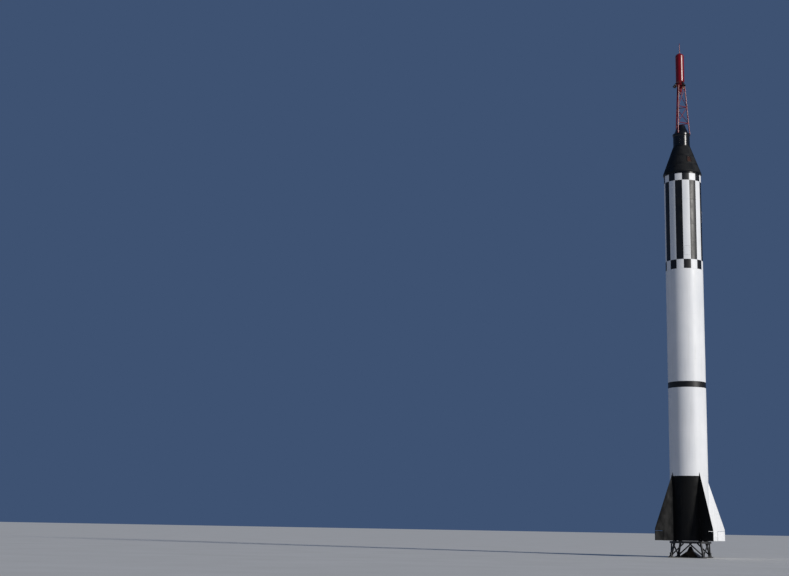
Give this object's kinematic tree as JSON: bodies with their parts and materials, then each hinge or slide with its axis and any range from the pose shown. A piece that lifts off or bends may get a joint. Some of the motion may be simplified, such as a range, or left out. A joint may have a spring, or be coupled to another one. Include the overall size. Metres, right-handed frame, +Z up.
{
  "type": "space rocket with crew capsule and escape tower on its launch stand",
  "caption": "Single-stage space rocket with fins, black crew capsule and red escape tower, on a low launch stand; air rudders and jet vanes turn.",
  "frame": {"origin": "middle of the launch stand's base plate, on the ground", "axes": "+Z up along the rocket, -Y to the front (the middle of the dark tail quarter), +X to the rocket's right as seen from the front"},
  "size_m": [2.721, 2.721, 25.4],
  "materials": {
    "white_paint": "gloss",
    "black_paint": "satin",
    "stand_paint": "satin",
    "red_paint": "gloss",
    "heat_stained_steel": "satin",
    "bare_steel": "satin",
    "graphite": "matte",
    "window_glass": "gloss"
  },
  "bodies": {
    "rocket": {"lower_tank_section": "white_paint", "upper_tank_section": "white_paint", "instrument_section": "white_paint", "capsule_adapter": "white_paint", "cable_tunnel": "white_paint", "tail_unit": "black_paint", "joint_band": "black_paint", "clamp_ring": "black_paint", "capsule_cone": "black_paint", "entry_hatch": "black_paint", "recovery_cylinder": "black_paint", "antenna_fairing": "black_paint", "tower_foot_ring": "black_paint", "fin_front_right": "black_paint", "fin_back_right": "black_paint", "fin_back_left": "black_paint", "fin_front_left": "black_paint", "stand_base": "stand_paint", "stand_top_ring": "stand_paint", "stand_leg_front_right": "stand_paint", "stand_leg_back_right": "stand_paint", "stand_leg_back_left": "stand_paint", "stand_leg_front_left": "stand_paint", "escape_tower": "red_paint", "tower_top_plate": "red_paint", "jettison_motor": "red_paint", "escape_motor": "red_paint", "nose_spike": "red_paint", "engine": "heat_stained_steel", "exhaust_duct": "heat_stained_steel", "flame_deflector": "heat_stained_steel", "escape_nozzle_1": "heat_stained_steel", "escape_nozzle_2": "heat_stained_steel", "escape_nozzle_3": "heat_stained_steel", "vane_bracket_front_right": "heat_stained_steel", "vane_bracket_back_right": "heat_stained_steel", "vane_bracket_back_left": "heat_stained_steel", "vane_bracket_front_left": "heat_stained_steel", "thrust_frame": "bare_steel", "side_window": "window_glass"},
    "rudder_front_right": {"air_rudder_front_right": "black_paint"},
    "vane_front_right": {"jet_vane_front_right": "graphite"},
    "rudder_back_right": {"air_rudder_back_right": "black_paint"},
    "vane_back_right": {"jet_vane_back_right": "graphite"},
    "rudder_back_left": {"air_rudder_back_left": "black_paint"},
    "vane_back_left": {"jet_vane_back_left": "graphite"},
    "rudder_front_left": {"air_rudder_front_left": "black_paint"},
    "vane_front_left": {"jet_vane_front_left": "graphite"}
  },
  "joints": [
    {"name": "rudder_turn_front_right", "type": "hinge", "parent": "rocket", "child": "rudder_front_right", "pos_m": [1.04652, -1.04652, 1], "axis": [0.7071, -0.7071, 0], "range_deg": [-25, 25]},
    {"name": "vane_turn_front_right", "type": "hinge", "parent": "rocket", "child": "vane_front_right", "pos_m": [0.49497, -0.49497, 1], "axis": [0.7071, -0.7071, 0], "range_deg": [-25, 25]},
    {"name": "rudder_turn_back_right", "type": "hinge", "parent": "rocket", "child": "rudder_back_right", "pos_m": [1.04652, 1.04652, 1], "axis": [0.7071, 0.7071, 0], "range_deg": [-25, 25]},
    {"name": "vane_turn_back_right", "type": "hinge", "parent": "rocket", "child": "vane_back_right", "pos_m": [0.49497, 0.49497, 1], "axis": [0.7071, 0.7071, 0], "range_deg": [-25, 25]},
    {"name": "rudder_turn_back_left", "type": "hinge", "parent": "rocket", "child": "rudder_back_left", "pos_m": [-1.04652, 1.04652, 1], "axis": [-0.7071, 0.7071, 0], "range_deg": [-25, 25]},
    {"name": "vane_turn_back_left", "type": "hinge", "parent": "rocket", "child": "vane_back_left", "pos_m": [-0.49497, 0.49497, 1], "axis": [-0.7071, 0.7071, 0], "range_deg": [-25, 25]},
    {"name": "rudder_turn_front_left", "type": "hinge", "parent": "rocket", "child": "rudder_front_left", "pos_m": [-1.04652, -1.04652, 1], "axis": [-0.7071, -0.7071, 0], "range_deg": [-25, 25]},
    {"name": "vane_turn_front_left", "type": "hinge", "parent": "rocket", "child": "vane_front_left", "pos_m": [-0.49497, -0.49497, 1], "axis": [-0.7071, -0.7071, 0], "range_deg": [-25, 25]}
  ],
  "couplings": [
    {"joint": "vane_turn_front_right", "follows": "rudder_turn_front_right", "ratio": 1},
    {"joint": "vane_turn_back_right", "follows": "rudder_turn_back_right", "ratio": 1},
    {"joint": "vane_turn_back_left", "follows": "rudder_turn_back_left", "ratio": 1},
    {"joint": "vane_turn_front_left", "follows": "rudder_turn_front_left", "ratio": 1}
  ]
}
